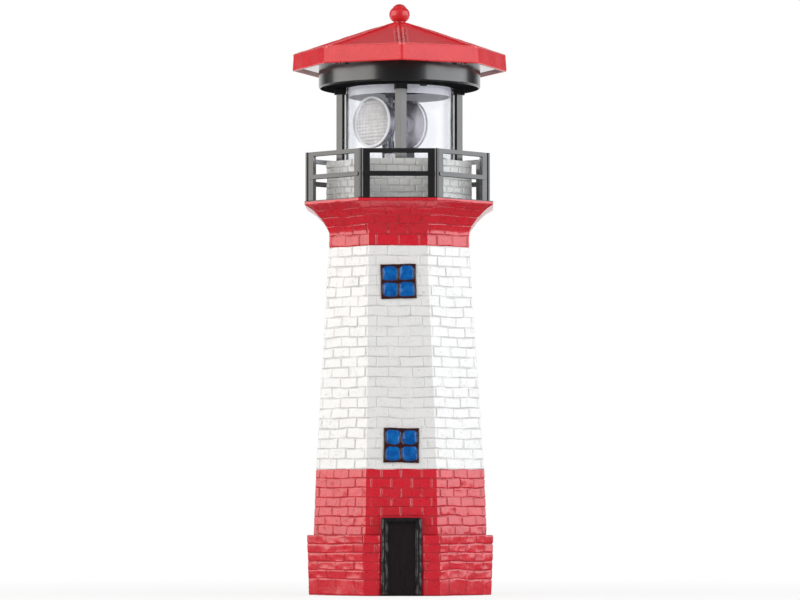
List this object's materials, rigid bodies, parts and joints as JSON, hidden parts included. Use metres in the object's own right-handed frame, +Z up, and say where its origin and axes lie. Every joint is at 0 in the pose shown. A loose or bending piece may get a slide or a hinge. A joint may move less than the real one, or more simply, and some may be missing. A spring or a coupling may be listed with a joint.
{
  "type": "garden lighthouse ornament",
  "caption": "Octagonal brick lighthouse with a railed gallery and a lift-off lantern head that holds a geared rotating beacon.",
  "frame": {"origin": "middle of the foot, on the ground", "axes": "+Z up along the tower, -Y out of the door side, +X to the right of the door"},
  "size_m": [0.1314, 0.1314, 0.36],
  "materials": {
    "casting": "cast resin painted in white and red bands, satin",
    "black_plastic": "moulded black, semi-gloss",
    "clear_plastic": "clear moulded plastic",
    "lens_plastic": "clear plastic with a pebbled face",
    "frosted_plastic": "frosted",
    "white_plastic": "moulded white",
    "red_plastic": "moulded red, glossy",
    "solar_cell": "dark blue cell",
    "screw_steel": "zinc plated",
    "spindle_steel": "ground rod",
    "spring_steel": "nickel plated strip",
    "motor_steel": "plated case",
    "switch_steel": "plated case",
    "board": "green board",
    "battery_can": "plain green sleeve",
    "brass": "bright",
    "lamp_glass": "clear lamp"
  },
  "bodies": {
    "tower": {"tower_casting": "casting", "base_plate": "black_plastic", "gallery_railing": "black_plastic", "lantern_cage": "black_plastic", "cage_screws": "screw_steel", "lantern_window": "clear_plastic", "window_ring": "frosted_plastic", "pivot_cup": "white_plastic"},
    "head": {"collar_housing": "black_plastic", "roof": "red_plastic", "finial": "red_plastic", "solar_cells": "solar_cell", "roof_screws": "screw_steel", "circuit_board": "board", "battery_holder": "black_plastic", "battery": "battery_can", "battery_contacts": "spring_steel", "switch_body": "switch_steel", "gear_motor": "motor_steel", "motor_bracket": "black_plastic", "bracket_screws": "screw_steel", "spindle_bush": "black_plastic", "brush_block": "white_plastic", "brushes": "brass"},
    "beacon": {"spindle": "spindle_steel", "spindle_gear": "white_plastic", "slip_rings": "brass", "beacon_hub": "white_plastic", "beacon_stem": "clear_plastic", "front_bowl": "clear_plastic", "rear_bowl": "clear_plastic", "front_lens": "lens_plastic", "rear_lens": "lens_plastic", "lamps": "lamp_glass"},
    "pinion": {"motor_shaft": "spindle_steel", "motor_pinion": "white_plastic"},
    "switch": {"switch_knob": "black_plastic"}
  },
  "joints": [
    {"name": "head_lift", "type": "slide", "parent": "tower", "child": "head", "axis": [0, 0, 1], "range_m": [0, 0.07]},
    {"name": "beacon_spin", "type": "hinge", "parent": "head", "child": "beacon", "pos_m": [-0.0055, 0, 0.2865], "axis": [0, 0, 1], "continuous": true},
    {"name": "pinion_spin", "type": "hinge", "parent": "head", "child": "pinion", "pos_m": [0.0137, 0, 0.3128], "axis": [0, 0, 1], "continuous": true},
    {"name": "switch_slide", "type": "slide", "parent": "head", "child": "switch", "axis": [1, 0, 0], "range_m": [0, 0.003]}
  ],
  "couplings": [
    {"joint": "pinion_spin", "follows": "beacon_spin", "ratio": -3}
  ]
}
